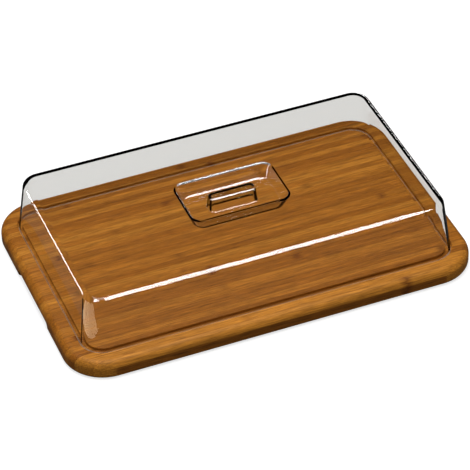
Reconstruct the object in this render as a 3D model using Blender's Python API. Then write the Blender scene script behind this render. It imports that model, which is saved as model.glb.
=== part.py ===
"""Cheese dome: a clear moulded cover that stands in the groove of a laminated bamboo board.

Metres, +Z up, +X along the board's length. The origin is the centre of the board's underside.
The cover's one motion is its lift straight up, along +Z through the origin.
"""

from math import atan, cos, pi, radians, sin, tan

import bmesh
import bpy

# ---- driving dimensions -------------------------------------------------------------------------

# Bamboo board
BOARD_LENGTH = 0.380
BOARD_WIDTH = 0.240
BOARD_THICKNESS = 0.017
BOARD_CORNER_RADIUS = 0.038
TOP_EDGE_ROUND = 0.0074
BOTTOM_EDGE_ROUND = 0.0040

# The board is glued up from strips that run its whole length
STRIP_COUNT = 36
STRIP_GAP = 0.0003

# Groove that the cover stands in
GROOVE_INSET = 0.0154
GROOVE_WIDTH = 0.0064
GROOVE_DEPTH = 0.0028
GROOVE_CORNER_RADIUS = 0.0220
GROOVE_LIP = 0.0006
GROOVE_FLOOR_ROUND = 0.0006

# Finger recess under each short end
RECESS_WIDTH = 0.080
RECESS_DEPTH = 0.016
RECESS_HEIGHT = 0.0085

# Clear cover
COVER_WALL = 0.0026
COVER_RISE = 0.050
RIM_CLEARANCE = 0.0008
SEAT_GAP = 0.0003
ROOF_LENGTH = 0.3350
ROOF_WIDTH = 0.1890
ROOF_CORNER_RADIUS = 0.0165
ROOF_EDGE_ROUND = 0.0050
ROOF_UNDER_ROUND = 0.0042

# Grip pocket sunk into the roof, and the pinch bar that stands in it
POCKET_LENGTH = 0.0910
POCKET_WIDTH = 0.0550
POCKET_DEPTH = 0.0134
POCKET_CORNER_RADIUS = 0.0085
POCKET_LEAN = 0.0050
POCKET_RIM_ROUND = 0.0015
POCKET_UNDER_ROUND = 0.0004
POCKET_FLOOR_ROUND = 0.0030
BAR_LENGTH = 0.0434
BAR_WIDTH = 0.0110
BAR_CORNER_RADIUS = 0.0042
BAR_LEAN = 0.0013
BAR_FOOT_ROUND = 0.0012
BAR_TOP_ROUND = 0.0018
BAR_UNDER_ROUND = 0.0004

# Smoothness of the curved stretches
PLAN_CORNER_STEPS = 10
PROFILE_STEPS = 5
SMALL_ROUND_STEPS = 3
SHARP_ANGLE = radians(35)
LEAST_RADIUS = 0.0003

# ---- worked out from them -----------------------------------------------------------------------

BOARD_TOP = BOARD_THICKNESS
GROOVE_FLOOR = BOARD_TOP - GROOVE_DEPTH
STRIP_PITCH = BOARD_WIDTH / STRIP_COUNT
RIM_BOTTOM = GROOVE_FLOOR + SEAT_GAP
ROOF_TOP = BOARD_TOP + COVER_RISE
RIM_LENGTH = BOARD_LENGTH - 2 * (GROOVE_INSET + RIM_CLEARANCE)
RIM_WIDTH = BOARD_WIDTH - 2 * (GROOVE_INSET + RIM_CLEARANCE)
RIM_CORNER_RADIUS = GROOVE_CORNER_RADIUS - RIM_CLEARANCE
CUTTER_MARGIN = 0.010

BAMBOO = (0.42, 0.20, 0.07, 1.0)
CLEAR_PLASTIC = (0.92, 0.94, 0.95, 0.25)


# ---- profiles -----------------------------------------------------------------------------------

def ring(half_length, half_width, radius, z):
    """One rounded rectangle, level at height z. Every ring has the same number of corners."""
    points = []
    centres = (
        (half_length - radius, half_width - radius, 0.0),
        (radius - half_length, half_width - radius, pi / 2),
        (radius - half_length, radius - half_width, pi),
        (half_length - radius, radius - half_width, 3 * pi / 2),
    )
    for centre_x, centre_y, start in centres:
        for step in range(PLAN_CORNER_STEPS + 1):
            angle = start + step / PLAN_CORNER_STEPS * pi / 2
            points.append((centre_x + radius * cos(angle), centre_y + radius * sin(angle), z))
    return points


def loft(name, rings, material):
    """A closed solid through the rings, with a flat cap on the first and the last of them."""
    mesh = bpy.data.meshes.new(name)
    bm = bmesh.new()
    loops = [[bm.verts.new(point) for point in points] for points in rings]
    for lower, upper in zip(loops, loops[1:]):
        for index in range(len(lower)):
            following = (index + 1) % len(lower)
            bm.faces.new((lower[index], lower[following], upper[following], upper[index]))
    bm.faces.new(reversed(loops[0]))
    bm.faces.new(loops[-1])
    bmesh.ops.recalc_face_normals(bm, faces=bm.faces)
    bm.to_mesh(mesh)
    bm.free()
    mesh.shade_smooth()
    mesh.set_sharp_from_angle(angle=SHARP_ANGLE)
    mesh.materials.append(material)
    shape = bpy.data.objects.new(name, mesh)
    bpy.context.collection.objects.link(shape)
    return shape


def quarter(steps=PROFILE_STEPS):
    """Angles from 0 to a right angle."""
    return [pi / 2 * step / steps for step in range(steps + 1)]


# ---- bamboo board -------------------------------------------------------------------------------

def board_ring(inset, z):
    """The board's outline, drawn in by inset."""
    radius = BOARD_CORNER_RADIUS - inset
    return ring(BOARD_LENGTH / 2 - inset, BOARD_WIDTH / 2 - inset, radius, z)


def groove_ring(inward, z):
    """The groove's outer outline, drawn in by inward."""
    inset = GROOVE_INSET + inward
    radius = GROOVE_CORNER_RADIUS - inward
    return ring(BOARD_LENGTH / 2 - inset, BOARD_WIDTH / 2 - inset, radius, z)


def board_form(material):
    """The whole board as one form, before the recesses. The strips are cut from it."""
    rings = []
    for angle in quarter(SMALL_ROUND_STEPS):
        inset = BOTTOM_EDGE_ROUND * (1 - sin(angle))
        rings.append(board_ring(inset, BOTTOM_EDGE_ROUND * (1 - cos(angle))))
    for angle in quarter():
        inset = TOP_EDGE_ROUND * (1 - cos(angle))
        rings.append(board_ring(inset, BOARD_TOP - TOP_EDGE_ROUND * (1 - sin(angle))))
    lip = GROOVE_LIP
    foot = GROOVE_FLOOR_ROUND
    rings += [
        groove_ring(-lip, BOARD_TOP),
        groove_ring(0, BOARD_TOP - lip),
        groove_ring(0, GROOVE_FLOOR + foot),
        groove_ring(foot, GROOVE_FLOOR),
        groove_ring(GROOVE_WIDTH - foot, GROOVE_FLOOR),
        groove_ring(GROOVE_WIDTH, GROOVE_FLOOR + foot),
        groove_ring(GROOVE_WIDTH, BOARD_TOP - lip),
        groove_ring(GROOVE_WIDTH + lip, BOARD_TOP),
    ]
    return as_guide(loft("board_form", rings, material))


def recess_cutter(name, side, material):
    """A round-ended scoop from below, open at the board's end. side is -1 or +1 along X."""
    half_depth = RECESS_DEPTH + CUTTER_MARGIN
    rounding = RECESS_DEPTH / 2
    rings = [ring(half_depth, RECESS_WIDTH / 2, rounding, -CUTTER_MARGIN)]
    for angle in quarter():
        inset = BOTTOM_EDGE_ROUND * (1 - cos(angle))
        z = RECESS_HEIGHT - BOTTOM_EDGE_ROUND * (1 - sin(angle))
        rings.append(ring(half_depth - inset, RECESS_WIDTH / 2 - inset, rounding - inset, z))
    cutter = as_guide(loft(name, rings, material))
    cutter.location.x = side * (BOARD_LENGTH / 2 + CUTTER_MARGIN)
    return cutter


def as_guide(shape):
    """A shape that only cuts others."""
    shape.hide_render = True
    shape.display_type = "WIRE"
    return shape


def add_boolean(shape, other, operation):
    cut = shape.modifiers.new(operation.lower(), "BOOLEAN")
    cut.operation = operation
    cut.object = other
    cut.solver = "EXACT"


def bamboo_strip(index, form, material):
    """One strip of the board: a plain lath, shaped to the board's form. Strip 1 is at the front."""
    name = f"bamboo_strip_{index:02d}"
    front = -STRIP_PITCH / 2 + (STRIP_GAP / 2 if index > 1 else -CUTTER_MARGIN)
    back = STRIP_PITCH / 2 - (STRIP_GAP / 2 if index < STRIP_COUNT else -CUTTER_MARGIN)
    low = -CUTTER_MARGIN
    high = BOARD_THICKNESS + CUTTER_MARGIN
    mesh = bpy.data.meshes.new(name)
    bm = bmesh.new()
    bmesh.ops.create_cube(bm, size=2.0)
    for vertex in bm.verts:
        vertex.co.x *= BOARD_LENGTH / 2 + CUTTER_MARGIN
        vertex.co.y = front if vertex.co.y < 0 else back
        vertex.co.z = low if vertex.co.z < 0 else high
    bm.to_mesh(mesh)
    bm.free()
    mesh.materials.append(material)
    strip = bpy.data.objects.new(name, mesh)
    bpy.context.collection.objects.link(strip)
    strip.location.y = (index - 0.5) * STRIP_PITCH - BOARD_WIDTH / 2
    add_boolean(strip, form, "INTERSECT")
    return strip


# ---- clear cover --------------------------------------------------------------------------------

class CoverProfile:
    """The rings of the cover's upper surface and of its under surface, gathered from the rim
    over the roof and down into the pocket to the bar's top."""

    def __init__(self):
        self.upper = []
        self.under = []

    def add(self, upper_halves, radius, upper_z, under_halves, under_z):
        """One ring on each surface. The under one is parallel to the upper one."""
        self.upper.append(ring(*upper_halves, radius, upper_z))
        under_radius = max(radius + under_halves[0] - upper_halves[0], LEAST_RADIUS)
        self.under.append(ring(*under_halves, under_radius, under_z))

    def rim(self):
        """The wall's flat foot."""
        outside = (RIM_LENGTH / 2, RIM_WIDTH / 2)
        inside = [half - COVER_WALL for half in outside]
        self.add(outside, RIM_CORNER_RADIUS, RIM_BOTTOM, inside, RIM_BOTTOM)

    def turn(self, level, rounding, under_rounding, halves, leans, facing, ends, steps, radius):
        """One rounded stretch between a level face and a leaning one.

        level is the level face's height, halves are the leaning face's where it would meet the
        roof, and facing is +1 where it faces outwards or -1 where it faces the pocket. Both
        roundings are negative where their centre is in the air. ends are the elevations of the
        surface's normal at both ends, where None stands for the leaning face's. radius is the
        leaning face's corner radius."""
        centres = []
        for depth in (rounding, COVER_WALL + under_rounding):
            down = ROOF_TOP - level + depth
            centres.append([half + facing * (down * sin(lean) - depth) / cos(lean)
                            for half, lean in zip(halves, leans)])
        leaning = [lean if facing > 0 else pi - lean for lean in leans]
        leaning_half = centres[0][0] + rounding * cos(leaning[0])
        for step in range(steps + 1):
            normals = []
            for lean in leaning:
                start, end = [lean if elevation is None else elevation for elevation in ends]
                normals.append(start + (end - start) * step / steps)
            fall = 1 - sin(sum(normals) / 2)
            outside = [centre + rounding * cos(normal)
                       for centre, normal in zip(centres[0], normals)]
            inside = [centre + under_rounding * cos(normal)
                      for centre, normal in zip(centres[1], normals)]
            plan_radius = max(radius + outside[0] - leaning_half, LEAST_RADIUS)
            self.add(outside, plan_radius, level - rounding * fall,
                     inside, level - COVER_WALL - under_rounding * fall)


def cover_profile():
    up = pi / 2
    floor = ROOF_TOP - POCKET_DEPTH
    profile = CoverProfile()
    profile.rim()

    height = ROOF_TOP - RIM_BOTTOM
    leans = [atan((RIM_LENGTH - ROOF_LENGTH) / 2 / height),
             atan((RIM_WIDTH - ROOF_WIDTH) / 2 / height)]
    profile.turn(ROOF_TOP, ROOF_EDGE_ROUND, ROOF_UNDER_ROUND, (ROOF_LENGTH / 2, ROOF_WIDTH / 2),
                 leans, 1, (None, up), PROFILE_STEPS, ROOF_CORNER_RADIUS)

    halves = (POCKET_LENGTH / 2, POCKET_WIDTH / 2)
    leans = [atan(POCKET_LEAN / POCKET_DEPTH)] * 2
    profile.turn(ROOF_TOP, POCKET_RIM_ROUND, POCKET_UNDER_ROUND, halves,
                 leans, -1, (up, None), SMALL_ROUND_STEPS, POCKET_CORNER_RADIUS)
    profile.turn(floor, -POCKET_FLOOR_ROUND, -POCKET_FLOOR_ROUND - COVER_WALL, halves,
                 leans, -1, (None, up), PROFILE_STEPS, POCKET_CORNER_RADIUS)

    halves = (BAR_LENGTH / 2, BAR_WIDTH / 2)
    leans = [atan(BAR_LEAN / POCKET_DEPTH)] * 2
    profile.turn(floor, -BAR_FOOT_ROUND, -BAR_FOOT_ROUND - COVER_WALL, halves,
                 leans, 1, (up, None), SMALL_ROUND_STEPS, BAR_CORNER_RADIUS)
    profile.turn(ROOF_TOP, BAR_TOP_ROUND, BAR_UNDER_ROUND, halves,
                 leans, 1, (None, up), SMALL_ROUND_STEPS, BAR_CORNER_RADIUS)
    return profile


def clear_cover(material):
    """One moulded wall, between its upper and its under surface."""
    profile = cover_profile()
    return loft("clear_dome", list(reversed(profile.under)) + profile.upper, material)


# ---- materials ----------------------------------------------------------------------------------

def plain_material(name, colour, roughness, transmission=0.0):
    material = bpy.data.materials.new(name)
    material.use_nodes = True
    shader = material.node_tree.nodes["Principled BSDF"]
    shader.inputs["Base Color"].default_value = colour
    shader.inputs["Roughness"].default_value = roughness
    shader.inputs["Metallic"].default_value = 0.0
    shader.inputs["Transmission Weight"].default_value = transmission
    shader.inputs["IOR"].default_value = 1.5
    return material


# ---- the object ---------------------------------------------------------------------------------

def build():
    for shape in list(bpy.data.objects):
        bpy.data.objects.remove(shape)
    bamboo = plain_material("bamboo", BAMBOO, 0.45)
    plastic = plain_material("clear_plastic", CLEAR_PLASTIC, 0.04, transmission=1.0)
    form = board_form(bamboo)
    for name, side in (("recess_cutter_left", -1), ("recess_cutter_right", 1)):
        add_boolean(form, recess_cutter(name, side, bamboo), "DIFFERENCE")
    for index in range(1, STRIP_COUNT + 1):
        bamboo_strip(index, form, bamboo)
    clear_cover(plastic)


build()
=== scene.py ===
"""Looks for the cheese dome: a clear moulded cover standing on a laminated bamboo board.

Everything is in metres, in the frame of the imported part: +X along the board, +Z up.
"""

from math import atan, cos, pi, radians, sin, tan

import bmesh
import bpy
from mathutils import Matrix, Vector


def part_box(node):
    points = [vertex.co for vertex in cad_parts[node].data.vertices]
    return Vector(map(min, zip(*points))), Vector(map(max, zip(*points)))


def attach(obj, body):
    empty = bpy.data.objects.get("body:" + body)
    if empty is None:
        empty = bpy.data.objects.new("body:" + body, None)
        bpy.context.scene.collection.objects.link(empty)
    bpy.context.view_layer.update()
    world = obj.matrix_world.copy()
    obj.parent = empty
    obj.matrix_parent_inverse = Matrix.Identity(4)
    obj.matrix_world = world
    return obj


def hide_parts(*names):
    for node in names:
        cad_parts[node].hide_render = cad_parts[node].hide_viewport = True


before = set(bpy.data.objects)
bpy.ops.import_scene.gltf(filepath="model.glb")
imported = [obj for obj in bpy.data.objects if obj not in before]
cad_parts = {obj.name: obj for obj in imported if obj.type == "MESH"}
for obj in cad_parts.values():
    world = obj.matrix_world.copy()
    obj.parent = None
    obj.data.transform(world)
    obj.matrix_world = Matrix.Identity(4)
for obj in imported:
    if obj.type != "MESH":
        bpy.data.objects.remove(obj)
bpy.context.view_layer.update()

# ---- sizes read from the frame ------------------------------------------------------------------

STRIP_NODES = sorted(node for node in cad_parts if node.startswith("bamboo_strip_"))
STRIP_BOXES = {node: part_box(node) for node in STRIP_NODES}
COVER_NODE = "clear_dome"
COVER_LOW, COVER_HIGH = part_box(COVER_NODE)

BOARD_LENGTH = max(high.x - low.x for low, high in STRIP_BOXES.values())
BOARD_FRONT = min(low.y for low, high in STRIP_BOXES.values())
BOARD_BACK = max(high.y for low, high in STRIP_BOXES.values())
BOARD_WIDTH = BOARD_BACK - BOARD_FRONT
BOARD_TOP = max(high.z for low, high in STRIP_BOXES.values())
STRIP_PITCH = BOARD_WIDTH / len(STRIP_NODES)

# ---- sizes shared with the solid model ----------------------------------------------------------

BOARD_CORNER_RADIUS = 0.038
TOP_EDGE_ROUND = 0.0074
BOTTOM_EDGE_ROUND = 0.0040
GROOVE_INSET = 0.0154
GROOVE_WIDTH = 0.0064
GROOVE_DEPTH = 0.0028
GROOVE_CORNER_RADIUS = 0.0220
GROOVE_LIP = 0.0006
GROOVE_FLOOR_ROUND = 0.0006
RECESS_WIDTH = 0.080
RECESS_DEPTH = 0.016
RECESS_HEIGHT = 0.0085

COVER_WALL = 0.0026
ROOF_LENGTH = 0.3350
ROOF_WIDTH = 0.1890
ROOF_CORNER_RADIUS = 0.0165
RIM_CORNER_RADIUS = 0.0212
ROOF_EDGE_ROUND = 0.0050
ROOF_UNDER_ROUND = 0.0042
RIM_ROUND = 0.0005
POCKET_LENGTH = 0.0910
POCKET_WIDTH = 0.0550
POCKET_DEPTH = 0.0134
POCKET_CORNER_RADIUS = 0.0085
POCKET_LEAN = 0.0050
POCKET_RIM_ROUND = 0.0015
POCKET_UNDER_ROUND = 0.0004
POCKET_FLOOR_ROUND = 0.0030
BAR_LENGTH = 0.0434
BAR_WIDTH = 0.0110
BAR_CORNER_RADIUS = 0.0042
BAR_LEAN = 0.0013
BAR_FOOT_ROUND = 0.0012
BAR_TOP_ROUND = 0.0018
BAR_UNDER_ROUND = 0.0004

# ---- only for the looks -------------------------------------------------------------------------

SEAM = 0.00006
CUT_MARGIN = 0.010
MERGE_DISTANCE = 1e-7
LEAST_RADIUS = 0.0004
SHARP_ANGLE = radians(35)
FLAT_FACE_WEIGHT = 100

# steps of a rounded stretch: in plan, and along the profile from the largest round to the least
BOARD_CORNER_STEPS = 24
COVER_CORNER_STEPS = 20
ROOF_EDGE_STEPS = 12
TOP_EDGE_STEPS = 10
MEDIUM_ROUND_STEPS = 8
BAR_FOOT_STEPS = 6
BOTTOM_EDGE_STEPS = 5
SMALL_ROUND_STEPS = 3


# ---- mesh helpers -------------------------------------------------------------------------------

def quarter(steps):
    """Angles from 0 to a right angle."""
    return [pi / 2 * step / steps for step in range(steps + 1)]


def ring(half_length, half_width, radius, z, steps):
    """One rounded rectangle, level at height z."""
    points = []
    centres = (
        (half_length - radius, half_width - radius, 0.0),
        (radius - half_length, half_width - radius, pi / 2),
        (radius - half_length, radius - half_width, pi),
        (half_length - radius, radius - half_width, 3 * pi / 2),
    )
    for centre_x, centre_y, start in centres:
        for angle in quarter(steps):
            turned = start + angle
            points.append((centre_x + radius * cos(turned), centre_y + radius * sin(turned), z))
    return points


def loft_bmesh(rings):
    """A closed solid through the rings, with a flat cap on the first and the last of them."""
    bm = bmesh.new()
    loops = [[bm.verts.new(point) for point in points] for points in rings]
    for lower, upper in zip(loops, loops[1:]):
        for index in range(len(lower)):
            following = (index + 1) % len(lower)
            bm.faces.new((lower[index], lower[following], upper[following], upper[index]))
    bm.faces.new(reversed(loops[0]))
    bm.faces.new(loops[-1])
    bmesh.ops.recalc_face_normals(bm, faces=bm.faces)
    return bm


def object_from(name, bm):
    """A smooth-shaded object whose flat faces stay flat."""
    mesh = bpy.data.meshes.new(name)
    bm.to_mesh(mesh)
    bm.free()
    mesh.shade_smooth()
    mesh.set_sharp_from_angle(angle=SHARP_ANGLE)
    shape = bpy.data.objects.new(name, mesh)
    bpy.context.scene.collection.objects.link(shape)
    return shape


def flatten_normals(shape):
    """Large faces keep their own normal, and only the rounded stretches are shaded round."""
    weighted = shape.modifiers.new("flat_faces", "WEIGHTED_NORMAL")
    weighted.keep_sharp = True
    weighted.weight = FLAT_FACE_WEIGHT


def apply_modifiers(shape):
    evaluated = shape.evaluated_get(bpy.context.evaluated_depsgraph_get())
    mesh = bpy.data.meshes.new_from_object(evaluated)
    shape.modifiers.clear()
    shape.data = mesh


# ---- bamboo board -------------------------------------------------------------------------------

def board_ring(inset, radius, z):
    half_length = BOARD_LENGTH / 2 - inset
    half_width = BOARD_WIDTH / 2 - inset
    return ring(half_length, half_width, radius, z, BOARD_CORNER_STEPS)


def board_rings():
    """The board from its underside to its top, and through the groove."""
    rings = []
    for angle in quarter(BOTTOM_EDGE_STEPS):
        inset = BOTTOM_EDGE_ROUND * (1 - sin(angle))
        z = BOTTOM_EDGE_ROUND * (1 - cos(angle))
        rings.append(board_ring(inset, BOARD_CORNER_RADIUS - inset, z))
    for angle in quarter(TOP_EDGE_STEPS):
        inset = TOP_EDGE_ROUND * (1 - cos(angle))
        z = BOARD_TOP - TOP_EDGE_ROUND * (1 - sin(angle))
        rings.append(board_ring(inset, BOARD_CORNER_RADIUS - inset, z))

    for inward, z in groove_profile():
        rings.append(board_ring(GROOVE_INSET + inward, GROOVE_CORNER_RADIUS - inward, z))
    return rings


def groove_profile():
    """The groove across its width, as pairs of the way in from its outer wall and the height."""
    floor = BOARD_TOP - GROOVE_DEPTH
    profile = []
    for angle in quarter(SMALL_ROUND_STEPS):
        profile.append((GROOVE_LIP * (sin(angle) - 1), BOARD_TOP - GROOVE_LIP * (1 - cos(angle))))
    for angle in quarter(SMALL_ROUND_STEPS):
        inward = GROOVE_FLOOR_ROUND * (1 - cos(angle))
        profile.append((inward, floor + GROOVE_FLOOR_ROUND * (1 - sin(angle))))
    return profile + [(GROOVE_WIDTH - inward, z) for inward, z in reversed(profile)]


def recess_cutter(side):
    """The finger recess's shape, open below and at the board's end."""
    half_depth = RECESS_DEPTH + CUT_MARGIN
    rounding = RECESS_DEPTH / 2
    steps = BOARD_CORNER_STEPS // 2
    rings = [ring(half_depth, RECESS_WIDTH / 2, rounding, -CUT_MARGIN, steps)]
    for angle in quarter(MEDIUM_ROUND_STEPS):
        inset = BOTTOM_EDGE_ROUND * (1 - cos(angle))
        z = RECESS_HEIGHT - BOTTOM_EDGE_ROUND * (1 - sin(angle))
        rings.append(ring(half_depth - inset, RECESS_WIDTH / 2 - inset, rounding - inset, z, steps))
    cutter = object_from("recess_cutter", loft_bmesh(rings))
    cutter.location.x = side * (BOARD_LENGTH / 2 + CUT_MARGIN)
    return cutter


def board_mesh():
    """The whole board as one mesh, with both finger recesses cut."""
    form = object_from("board_form", loft_bmesh(board_rings()))
    cutters = [recess_cutter(-1), recess_cutter(1)]
    for cutter in cutters:
        cut = form.modifiers.new("recess", "BOOLEAN")
        cut.object = cutter
        cut.solver = "EXACT"
    bpy.context.view_layer.update()
    apply_modifiers(form)
    mesh = form.data
    for shape in cutters + [form]:
        bpy.data.objects.remove(shape)
    return mesh


def cut_flat(bm, y, keep_side):
    """Cuts the mesh at a plane across Y and closes the cut. keep_side is +1 or -1."""
    bmesh.ops.bisect_plane(
        bm,
        geom=bm.verts[:] + bm.edges[:] + bm.faces[:],
        dist=MERGE_DISTANCE,
        plane_co=(0, y, 0),
        plane_no=(0, -keep_side, 0),
        clear_outer=True,
    )
    open_edges = [edge for edge in bm.edges if edge.is_boundary]
    bmesh.ops.holes_fill(bm, edges=open_edges, sides=0)


def bamboo_strips(material):
    """The board's strips, each with a hairline glue seam to its neighbour."""
    whole = board_mesh()
    last = len(STRIP_NODES) - 1
    for index, node in enumerate(STRIP_NODES):
        bm = bmesh.new()
        bm.from_mesh(whole)
        front = BOARD_FRONT + index * STRIP_PITCH
        if index > 0:
            cut_flat(bm, front + SEAM / 2, 1)
        if index < last:
            cut_flat(bm, front + STRIP_PITCH - SEAM / 2, -1)
        strip = object_from(node.replace("bamboo_strip", "board_strip"), bm)
        flatten_normals(strip)
        strip.data.materials.append(material)
        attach(strip, "board")
        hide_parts(node)


# ---- clear cover --------------------------------------------------------------------------------

class CoverProfile:
    """The rings of the cover's upper surface and of its under surface, gathered from the rim
    over the roof and down into the pocket to the bar's top."""

    def __init__(self):
        self.roof = COVER_HIGH.z
        self.rim_halves = [(high - low) / 2 for low, high in zip(COVER_LOW[:2], COVER_HIGH[:2])]
        self.roof_halves = [ROOF_LENGTH / 2, ROOF_WIDTH / 2]
        height = self.roof - COVER_LOW.z
        self.wall_leans = [atan((rim - roof) / height)
                           for rim, roof in zip(self.rim_halves, self.roof_halves)]
        self.upper = []
        self.under = []

    def add(self, upper_halves, radius, upper_z, under_halves, under_z):
        """One ring on each surface. The under one is parallel to the upper one."""
        self.upper.append(ring(*upper_halves, radius, upper_z, COVER_CORNER_STEPS))
        under_radius = max(radius + under_halves[0] - upper_halves[0], LEAST_RADIUS)
        self.under.append(ring(*under_halves, under_radius, under_z, COVER_CORNER_STEPS))

    def rim(self):
        """The wall's rounded foot."""
        z = COVER_LOW.z + RIM_ROUND
        down = self.roof - z
        halves = [half + down * tan(lean) for half, lean in zip(self.roof_halves, self.wall_leans)]
        for angle in quarter(SMALL_ROUND_STEPS):
            inward = RIM_ROUND * (1 - sin(angle))
            z = COVER_LOW.z + RIM_ROUND * (1 - cos(angle))
            outside = [half - inward for half in halves]
            inside = [half - COVER_WALL + inward for half in halves]
            self.add(outside, RIM_CORNER_RADIUS - inward, z, inside, z)

    def turn(self, level, rounding, under_rounding, halves, leans, facing, ends, steps, radius):
        """One rounded stretch between a level face and a leaning one.

        level is the level face's height, halves are the leaning face's where it would meet the
        roof, and facing is +1 where it faces outwards or -1 where it faces the pocket. Both
        roundings are negative where their centre is in the air. ends are the elevations of the
        surface's normal at both ends, where None stands for the leaning face's. radius is the
        leaning face's corner radius."""
        centres = []
        for depth in (rounding, COVER_WALL + under_rounding):
            down = self.roof - level + depth
            centres.append([half + facing * (down * sin(lean) - depth) / cos(lean)
                            for half, lean in zip(halves, leans)])
        leaning = [lean if facing > 0 else pi - lean for lean in leans]
        leaning_half = centres[0][0] + rounding * cos(leaning[0])
        for step in range(steps + 1):
            normals = []
            for lean in leaning:
                start, end = [lean if elevation is None else elevation for elevation in ends]
                normals.append(start + (end - start) * step / steps)
            fall = 1 - sin(sum(normals) / 2)
            outside = [centre + rounding * cos(normal)
                       for centre, normal in zip(centres[0], normals)]
            inside = [centre + under_rounding * cos(normal)
                      for centre, normal in zip(centres[1], normals)]
            plan_radius = max(radius + outside[0] - leaning_half, LEAST_RADIUS)
            self.add(outside, plan_radius, level - rounding * fall,
                     inside, level - COVER_WALL - under_rounding * fall)


def cover_profile():
    profile = CoverProfile()
    roof = profile.roof
    floor = roof - POCKET_DEPTH
    up = pi / 2
    profile.rim()
    profile.turn(roof, ROOF_EDGE_ROUND, ROOF_UNDER_ROUND, profile.roof_halves,
                 profile.wall_leans, 1, (None, up), ROOF_EDGE_STEPS, ROOF_CORNER_RADIUS)

    halves = (POCKET_LENGTH / 2, POCKET_WIDTH / 2)
    leans = [atan(POCKET_LEAN / POCKET_DEPTH)] * 2
    profile.turn(roof, POCKET_RIM_ROUND, POCKET_UNDER_ROUND, halves, leans, -1,
                 (up, None), MEDIUM_ROUND_STEPS, POCKET_CORNER_RADIUS)
    profile.turn(floor, -POCKET_FLOOR_ROUND, -POCKET_FLOOR_ROUND - COVER_WALL, halves, leans, -1,
                 (None, up), MEDIUM_ROUND_STEPS, POCKET_CORNER_RADIUS)

    halves = (BAR_LENGTH / 2, BAR_WIDTH / 2)
    leans = [atan(BAR_LEAN / POCKET_DEPTH)] * 2
    profile.turn(floor, -BAR_FOOT_ROUND, -BAR_FOOT_ROUND - COVER_WALL, halves, leans, 1,
                 (up, None), BAR_FOOT_STEPS, BAR_CORNER_RADIUS)
    profile.turn(roof, BAR_TOP_ROUND, BAR_UNDER_ROUND, halves, leans, 1,
                 (None, up), MEDIUM_ROUND_STEPS, BAR_CORNER_RADIUS)
    return profile


def clear_cover(material):
    """One moulded wall, between its upper and its under surface."""
    profile = cover_profile()
    cover = object_from("clear_cover", loft_bmesh(list(reversed(profile.under)) + profile.upper))
    flatten_normals(cover)
    cover.data.materials.append(material)
    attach(cover, "dome")
    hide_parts(COVER_NODE)
    return cover


# ---- material helpers ---------------------------------------------------------------------------

# nearly all of a noise's values lie between these two
NOISE_LOW = 0.30
NOISE_HIGH = 0.70

WHITE = (1.0, 1.0, 1.0, 1.0)


class Graph:
    """A short way to write the nodes of a material or of the world."""

    def __init__(self, owner):
        owner.use_nodes = True
        self.owner = owner
        self.tree = owner.node_tree
        self.shader = self.tree.nodes.get("Principled BSDF")
        self.output = self.tree.nodes.get("Material Output")

    def set(self, target, value):
        if isinstance(value, bpy.types.NodeSocket):
            self.tree.links.new(value, target)
        else:
            target.default_value = value

    def add(self, kind, inputs=None, **settings):
        node = self.tree.nodes.new(kind)
        for key, value in settings.items():
            setattr(node, key, value)
        for key, value in (inputs or {}).items():
            self.set(node.inputs[key], value)
        return node

    def math(self, operation, *values):
        node = self.add("ShaderNodeMath", operation=operation)
        for index, value in enumerate(values):
            self.set(node.inputs[index], value)
        return node.outputs[0]

    def combine(self, x, y, z):
        return self.add("ShaderNodeCombineXYZ", {"X": x, "Y": y, "Z": z}).outputs[0]

    def noise(self, vector, detail=2.0, roughness=0.5):
        inputs = {"Vector": vector, "Scale": 1.0, "Detail": detail, "Roughness": roughness}
        return self.add("ShaderNodeTexNoise", inputs).outputs[0]

    def spread(self, value, low, high, to_low=0.0, to_high=1.0):
        """value, from low..high to to_low..to_high, held at both ends."""
        inputs = {"Value": value, "From Min": low, "From Max": high, "To Min": to_low,
                  "To Max": to_high}
        return self.add("ShaderNodeMapRange", inputs).outputs[0]

    def ramp(self, value, stops):
        node = self.add("ShaderNodeValToRGB", {"Fac": value})
        elements = node.color_ramp.elements
        while len(elements) < len(stops):
            elements.new(0.5)
        for element, (place, colour) in zip(elements, stops):
            element.position = place
            element.color = (*colour, 1.0)
        return node.outputs[0]

    def tint(self, colour, other, share=1.0):
        """colour multiplied by other, as far as share says."""
        node = self.add("ShaderNodeMix", data_type="RGBA", blend_type="MULTIPLY")
        for index, value in ((0, share), (6, colour), (7, other)):
            self.set(node.inputs[index], value)
        return node.outputs[2]

    def shade(self, colour, value, darkest, lightest):
        """colour made darker and lighter by a noise value."""
        level = self.spread(value, NOISE_LOW, NOISE_HIGH, darkest, lightest)
        return self.tint(colour, self.grey(level))

    def grey(self, value):
        return self.combine(value, value, value)


# ---- bamboo -------------------------------------------------------------------------------------

# a strip's own tone, from the darkest to the lightest
STRIP_TONES = (
    (0.00, (0.246, 0.078, 0.0052)),
    (0.30, (0.292, 0.097, 0.0072)),
    (0.55, (0.332, 0.115, 0.0094)),
    (0.80, (0.378, 0.138, 0.0128)),
    (1.00, (0.440, 0.172, 0.0185)),
)
STRIP_SEED = 0.37

# how far each strip's stretch of grain lies from its neighbour's, along, across and down
GRAIN_SHIFT = (4.0, 0.013, 0.029)

# each pattern's scale along the strips and across them, its detail and its roughness
CLOUDS = (9.0, 34.0, 2.0, 0.50)
STREAKS = (9.0, 420.0, 2.0, 0.55)
GRAIN = (64.0, 980.0, 3.0, 0.65)
FIBRES = (18.0, 1500.0, 2.0, 0.60)
BUNDLES = (42.0, 2300.0, 1.0, 0.50)
WOBBLE = (60.0, 420.0, 2.0, 0.50)

# how dark and how light each pattern turns the wood
CLOUD_SHADES = (0.94, 1.05)
STREAK_SHADES = (0.84, 1.13)
GRAIN_SHADES = (0.61, 1.29)
FIBRE_SHADES = (0.80, 1.14)

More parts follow.
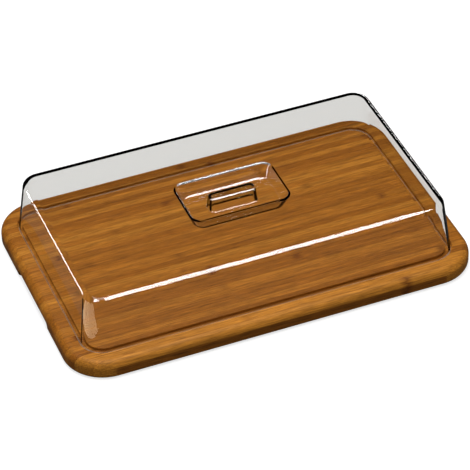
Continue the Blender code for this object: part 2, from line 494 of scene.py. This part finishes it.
# dark fibre bundles: few at one side of the strip and many at the other
BUNDLE_SPARSE = 0.70
BUNDLE_DENSE = 0.56
BUNDLE_EDGE = 0.09
BUNDLE_TINT = (0.44, 0.36, 0.28, 1.0)
BUNDLE_SHARE = 0.75

# knuckles, where the cane had its joints
KNUCKLE_SPACING = 0.43
KNUCKLE_REACH = 0.0065
KNUCKLE_WOBBLE = 0.012
KNUCKLE_TINT = (0.34, 0.22, 0.16, 1.0)
KNUCKLE_FAINT = 0.25

# glue seams, in shares of a strip's width
SEAM_CORE = 0.006
SEAM_REACH = 0.022
SEAM_TINT = (0.40, 0.28, 0.20, 1.0)
SEAM_SHARE = 0.70

# the oiled surface
WOOD_ROUGHNESS = (0.40, 0.54)
BUNDLE_ROUGHNESS = 0.10
WOOD_SHINE = 0.14
RELIEF_FIBRES = 0.5
RELIEF_BUNDLES = 0.6
RELIEF_SEAMS = 0.8
RELIEF_STRENGTH = 0.35
RELIEF_HEIGHT = 0.00012


class Strips:
    """The board's strips, as nodes. Each has its own tone, its own stretch of grain, and its own
    side where the dark fibre bundles crowd."""

    def __init__(self, g):
        self.g = g
        place = g.add("ShaderNodeTexCoord").outputs["Object"]
        x, y, z = g.add("ShaderNodeSeparateXYZ", {"Vector": place}).outputs
        across = g.math("DIVIDE", g.math("SUBTRACT", y, BOARD_FRONT), STRIP_PITCH)
        number = g.math("FLOOR", across)
        self.within = g.math("FRACT", across)
        draw = g.add("ShaderNodeTexWhiteNoise", {"W": g.math("ADD", number, STRIP_SEED)},
                     noise_dimensions="1D")
        dice = g.add("ShaderNodeSeparateColor", {"Color": draw.outputs["Color"]})
        self.tone, self.flip, self.shift = dice.outputs
        along, side, down = GRAIN_SHIFT
        self.along = g.math("ADD", x, g.math("MULTIPLY", self.shift, along))
        self.side = g.math("ADD", y, g.math("MULTIPLY", number, side))
        self.depth = g.math("ADD", z, g.math("MULTIPLY", number, down))

    def pattern(self, length_scale, cross_scale, detail, roughness):
        g = self.g
        stretched = g.combine(
            g.math("MULTIPLY", self.along, length_scale),
            g.math("MULTIPLY", self.side, cross_scale),
            g.math("MULTIPLY", self.depth, cross_scale),
        )
        return g.noise(stretched, detail, roughness)

    def bundles(self):
        g = self.g
        flipped = g.math("GREATER_THAN", self.flip, 0.5)
        crowd = g.math("ABSOLUTE", g.math("SUBTRACT", self.within, flipped))
        low = g.spread(crowd, 0.0, 1.0, BUNDLE_SPARSE, BUNDLE_DENSE)
        return g.spread(self.pattern(*BUNDLES), low, g.math("ADD", low, BUNDLE_EDGE))

    def knuckles(self):
        """Uneven dark bands across some of the strips."""
        g = self.g
        uneven = g.math("MULTIPLY", g.math("SUBTRACT", self.pattern(*WOBBLE), 0.5),
                        KNUCKLE_WOBBLE)
        joints = g.math("DIVIDE", g.math("ADD", self.along, uneven), KNUCKLE_SPACING)
        away = g.math("ABSOLUTE", g.math("SUBTRACT", g.math("FRACT", joints), 0.5))
        away = g.math("MULTIPLY", away, KNUCKLE_SPACING)
        band = g.spread(away, 0.0, KNUCKLE_REACH, 1.0, 0.0)
        return g.math("MULTIPLY", band, g.spread(self.shift, 0.2, 1.0, KNUCKLE_FAINT, 1.0))

    def seams(self):
        g = self.g
        near = g.math("MINIMUM", self.within, g.math("SUBTRACT", 1.0, self.within))
        return g.spread(near, SEAM_CORE, SEAM_REACH, 1.0, 0.0)


def bamboo_material():
    """Caramel-brown bamboo strips: a tone for each strip, streaks and fine grain along it, dark
    fibre bundles, and now and then a knuckle across it."""
    g = Graph(bpy.data.materials.new("caramel_bamboo"))
    strips = Strips(g)
    fibres = strips.pattern(*FIBRES)
    bundles = strips.bundles()
    seams = strips.seams()

    colour = g.ramp(strips.tone, STRIP_TONES)
    colour = g.shade(colour, strips.pattern(*CLOUDS), *CLOUD_SHADES)
    colour = g.shade(colour, strips.pattern(*STREAKS), *STREAK_SHADES)
    colour = g.shade(colour, strips.pattern(*GRAIN), *GRAIN_SHADES)
    colour = g.shade(colour, fibres, *FIBRE_SHADES)
    colour = g.tint(colour, BUNDLE_TINT, g.math("MULTIPLY", bundles, BUNDLE_SHARE))
    colour = g.tint(colour, KNUCKLE_TINT, strips.knuckles())
    colour = g.tint(colour, SEAM_TINT, g.math("MULTIPLY", seams, SEAM_SHARE))

    rough = g.spread(fibres, NOISE_LOW, NOISE_HIGH, *WOOD_ROUGHNESS)
    rough = g.math("ADD", rough, g.math("MULTIPLY", bundles, BUNDLE_ROUGHNESS))
    relief = g.math("SUBTRACT", g.math("MULTIPLY", fibres, RELIEF_FIBRES),
                    g.math("MULTIPLY", bundles, RELIEF_BUNDLES))
    relief = g.math("SUBTRACT", relief, g.math("MULTIPLY", seams, RELIEF_SEAMS))
    bump = g.add("ShaderNodeBump", {"Height": relief, "Strength": RELIEF_STRENGTH,
                                    "Distance": RELIEF_HEIGHT})

    g.set(g.shader.inputs["Base Color"], colour)
    g.set(g.shader.inputs["Roughness"], rough)
    g.set(g.shader.inputs["Normal"], bump.outputs[0])
    g.shader.inputs["Specular IOR Level"].default_value = WOOD_SHINE
    return g.owner


# ---- clear plastic ------------------------------------------------------------------------------

PLASTIC_IOR = 1.50
PLASTIC_TINT = (0.928, 0.928, 0.921, 1.0)
LAMP_TINT = (0.978, 0.978, 0.972, 1.0)
GLARE = 0.6

# fine wiping marks along the roof, where the cover is smeared
WIPE_SCALES = (60.0, 900.0, 60.0)
WIPE_RANGE = (0.62, 0.80)
SMEAR_SCALES = (14.0, 14.0, 14.0)
SMEAR_RANGE = (0.45, 0.65)
PLASTIC_ROUGHNESS = (0.008, 0.030)

# the foot's slightly satin edge
FOOT_REACH = 0.0012
FOOT_SATIN = 0.28
FOOT_COLOUR = (0.80, 0.68, 0.56, 1.0)


def plastic_roughness(g, x, y, z):
    """Polished, with the fine wiping marks of a used cover."""
    def marks(scales, roughness, reach):
        vector = g.combine(*[g.math("MULTIPLY", way, scale)
                             for way, scale in zip((x, y, z), scales)])
        return g.spread(g.noise(vector, 3.0, roughness), *reach)

    both = g.math("MULTIPLY", marks(WIPE_SCALES, 0.7, WIPE_RANGE),
                  marks(SMEAR_SCALES, 0.5, SMEAR_RANGE))
    return g.spread(both, 0.0, 1.0, *PLASTIC_ROUGHNESS)


def plastic_material():
    """Clear moulded plastic. It bends what is seen through it, shines on its outer side, and lets
    the lamps' light straight through."""
    g = Graph(bpy.data.materials.new("clear_plastic"))
    place = g.add("ShaderNodeTexCoord").outputs["Object"]
    x, y, z = g.add("ShaderNodeSeparateXYZ", {"Vector": place}).outputs
    rough = plastic_roughness(g, x, y, z)
    bend = g.add("ShaderNodeBsdfRefraction", {"Color": PLASTIC_TINT, "IOR": PLASTIC_IOR,
                                              "Roughness": rough})
    shine = g.add("ShaderNodeBsdfGlossy", {"Color": WHITE, "Roughness": rough})
    fresnel = g.add("ShaderNodeFresnel", {"IOR": PLASTIC_IOR})
    inner = g.add("ShaderNodeNewGeometry").outputs["Backfacing"]
    share = g.math("MULTIPLY", fresnel.outputs[0], g.spread(inner, 0.0, 1.0, GLARE, 0.0))
    clear = g.add("ShaderNodeMixShader", {0: share, 1: bend.outputs[0], 2: shine.outputs[0]})

    satin = g.add("ShaderNodeBsdfDiffuse", {"Color": FOOT_COLOUR})
    foot = g.spread(z, COVER_LOW.z, COVER_LOW.z + FOOT_REACH, FOOT_SATIN, 0.0)
    body = g.add("ShaderNodeMixShader", {0: foot, 1: clear.outputs[0], 2: satin.outputs[0]})

    rays = g.add("ShaderNodeLightPath").outputs
    passing = g.math("MAXIMUM", rays["Is Shadow Ray"], rays["Is Diffuse Ray"])
    open_way = g.add("ShaderNodeBsdfTransparent", {"Color": LAMP_TINT})
    both = g.add("ShaderNodeMixShader", {0: passing, 1: body.outputs[0], 2: open_way.outputs[0]})
    g.set(g.output.inputs["Surface"], both.outputs[0])
    return g.owner


# ---- the stage ----------------------------------------------------------------------------------

CAMERA_AZIMUTH = radians(-20.84)
CAMERA_ELEVATION = radians(39.52)
CAMERA_ROLL = radians(-1.53)
CAMERA_DISTANCE = 2.348
CAMERA_TARGET = Vector((0.0013, -0.0015, BOARD_TOP))
SENSOR_WIDTH = 36.0
LENS = 201.0
CLIP_END = 50.0

# the floor and the backdrop are dark to the cover's reflections
FLOOR_HALF = 12.0
FLOOR_DROP = 0.0002
FLOOR_PALE = 0.40
FLOOR_DARK = 0.10
FLOOR_GLOW = 0.70
FLOOR_THROUGH_COVER = 0.78
FLOOR_ROUGHNESS = 0.9
BACKDROP_FILL = 0.44
BACKDROP_DARK = 0.02
BACKDROP_LOW = 0.08
BACKDROP_HIGH = 0.12

# each lamp's name, place, aim, width, height and face brightness
KEY_LAMP = ("overhead_softbox", (-0.15, 0.05, 1.9), (0, 0, 0), 1.5, 1.2, 6.5)
EDGE_LAMPS = (
    ("front_strip", (0.108, -0.186, 0.438), (0.108, -0.0925, 0.065), 0.372, 0.58, 36.0),
    ("corner_strip", (-0.355, -0.237, 0.382), (-0.160, -0.089, 0.066), 0.17, 0.36, 40.0),
    ("left_strip", (-0.245, 0.0865, 0.087), (-0.165, 0.0865, 0.065), 0.165, 0.036, 26.0),
    ("right_strip", (0.95, 1.10, 0.42), (0, 0, 0.05), 0.50, 0.22, 12.0),
)
CORNER_CARD = ("low_card", (-0.274, -0.100, 0.003), (-0.274, -0.100, 1.0), 0.11, 0.13, 5.4)
CARD_COLOUR = (1.0, 0.78, 0.50)


def camera():
    """A long lens from the front left, looking down."""
    back = Vector((
        sin(CAMERA_AZIMUTH) * cos(CAMERA_ELEVATION),
        -cos(CAMERA_AZIMUTH) * cos(CAMERA_ELEVATION),
        sin(CAMERA_ELEVATION),
    ))
    right = Vector((0, 0, 1)).cross(back).normalized()
    up = back.cross(right)
    rolled_right = right * cos(CAMERA_ROLL) + up * sin(CAMERA_ROLL)
    rolled_up = up * cos(CAMERA_ROLL) - right * sin(CAMERA_ROLL)
    data = bpy.data.cameras.new("camera")
    data.sensor_width = SENSOR_WIDTH
    data.lens = LENS
    data.clip_end = CLIP_END
    eye = bpy.data.objects.new("camera", data)
    turn = Matrix((rolled_right, rolled_up, back)).transposed()
    eye.matrix_world = Matrix.Translation(CAMERA_TARGET + back * CAMERA_DISTANCE) @ turn.to_4x4()
    bpy.context.scene.collection.objects.link(eye)
    bpy.context.scene.camera = eye


def floor_plane():
    """A wide pale floor, lit from below as a light table is. It throws little light up onto the
    object."""
    bm = bmesh.new()
    bmesh.ops.create_grid(bm, x_segments=1, y_segments=1, size=FLOOR_HALF)
    floor = object_from("floor", bm)
    floor.location.z = -FLOOR_DROP
    g = Graph(bpy.data.materials.new("pale_floor"))
    rays = g.add("ShaderNodeLightPath").outputs
    through = g.math("MULTIPLY", rays["Is Transmission Ray"], FLOOR_THROUGH_COVER)
    seen = g.math("MAXIMUM", rays["Is Camera Ray"], through)
    g.set(g.shader.inputs["Base Color"], g.grey(g.spread(seen, 0.0, 1.0, FLOOR_DARK, FLOOR_PALE)))
    g.set(g.shader.inputs["Emission Strength"], g.math("MULTIPLY", seen, FLOOR_GLOW))
    g.shader.inputs["Emission Color"].default_value = WHITE
    g.shader.inputs["Roughness"].default_value = FLOOR_ROUGHNESS
    g.shader.inputs["Specular IOR Level"].default_value = 0.0
    floor.data.materials.append(g.owner)


def softbox(name, place, aim, width, height, brightness):
    """A rectangular lamp at place that shines towards aim. brightness is that of its face."""
    data = bpy.data.lights.new(name, "AREA")
    data.shape = "RECTANGLE"
    data.size = width
    data.size_y = height
    data.energy = brightness * pi * width * height
    lamp = bpy.data.objects.new(name, data)
    lamp.location = place
    lamp.rotation_euler = (Vector(aim) - Vector(place)).to_track_quat("-Z", "Y").to_euler()
    lamp.visible_camera = False
    bpy.context.scene.collection.objects.link(lamp)
    return lamp


def edge_lamps(cover):
    """Lamps that only draw highlights along the cover's rounded edges and front left corner."""
    only_cover = bpy.data.collections.new("edge_lit")
    only_cover.objects.link(cover)
    card = softbox(*CORNER_CARD)
    card.data.color = CARD_COLOUR
    for lamp in [softbox(*sizes) for sizes in EDGE_LAMPS] + [card]:
        lamp.visible_diffuse = False
        lamp.visible_transmission = False
        lamp.light_linking.receiver_collection = only_cover


def backdrop():
    """Pale walls all round, seen through the cover only near the horizon, and dark to the
    cover's reflections, as black cards set round clear plastic would be."""
    world = bpy.data.worlds.new("studio")
    bpy.context.scene.world = world
    g = Graph(world)
    rays = g.add("ShaderNodeLightPath").outputs
    way = g.add("ShaderNodeTexCoord").outputs["Generated"]
    up = g.add("ShaderNodeSeparateXYZ", {"Vector": way}).outputs[2]
    low = g.spread(up, BACKDROP_LOW, BACKDROP_HIGH, 1.0, 0.0)
    seen = g.math("MAXIMUM", rays["Is Camera Ray"],
                  g.math("MULTIPLY", rays["Is Transmission Ray"], low))
    fill = g.math("MULTIPLY", rays["Is Diffuse Ray"], BACKDROP_FILL)
    sky = g.tree.nodes["Background"]
    sky.inputs["Color"].default_value = WHITE
    g.set(sky.inputs["Strength"],
          g.math("MAXIMUM", g.math("MAXIMUM", seen, fill), BACKDROP_DARK))


def lights(cover):
    softbox(*KEY_LAMP)
    edge_lamps(cover)
    backdrop()
    bpy.context.scene.view_settings.view_transform = "Standard"


# ---- the scene ----------------------------------------------------------------------------------

camera()
floor_plane()
bamboo_strips(bamboo_material())
lights(clear_cover(plastic_material()))
